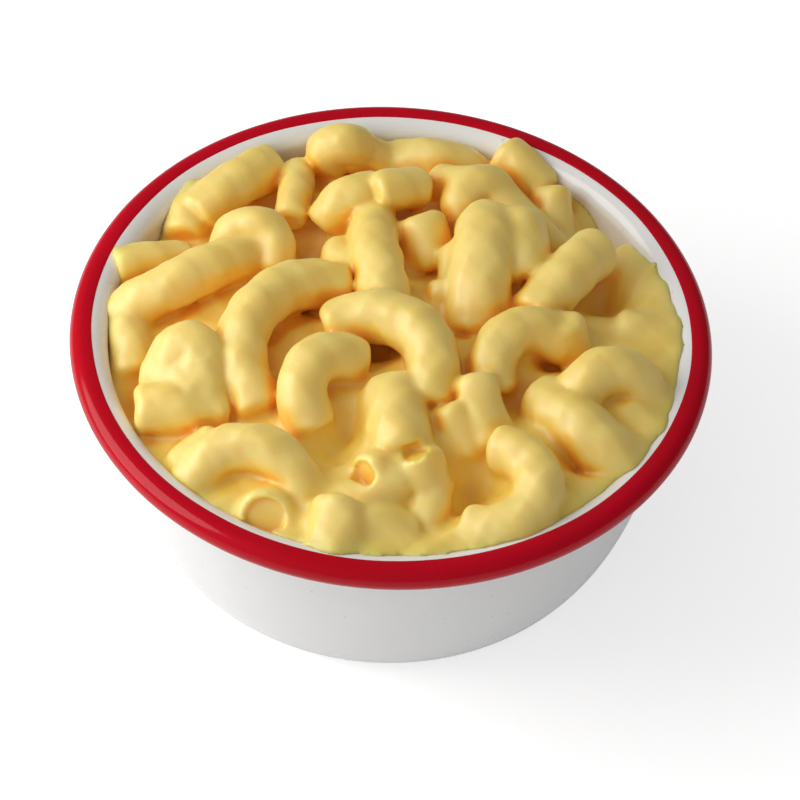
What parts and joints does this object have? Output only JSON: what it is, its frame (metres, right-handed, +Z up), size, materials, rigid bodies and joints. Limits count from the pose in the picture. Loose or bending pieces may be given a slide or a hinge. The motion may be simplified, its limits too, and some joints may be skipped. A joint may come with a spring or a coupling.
{
  "type": "bowl of macaroni and cheese",
  "caption": "White enamelled bowl with a rolled red rim, heaped with elbow macaroni in a smooth cheese sauce.",
  "frame": {"origin": "middle of the bowl's flat base, on the surface that it stands on", "axes": "+Z up along the bowl's axis, -Y towards the side the bowl is seen from"},
  "size_m": [0.13, 0.13, 0.0625],
  "materials": {
    "white_enamel": "glossy vitreous enamel on steel",
    "red_enamel": "glossy vitreous enamel on the rolled rim",
    "cheese_sauce": "smooth moist cheese sauce over cooked pasta, soft and slightly translucent"
  },
  "bodies": {
    "root": {"bowl": "white_enamel", "mac_and_cheese": "cheese_sauce"}
  },
  "joints": []
}
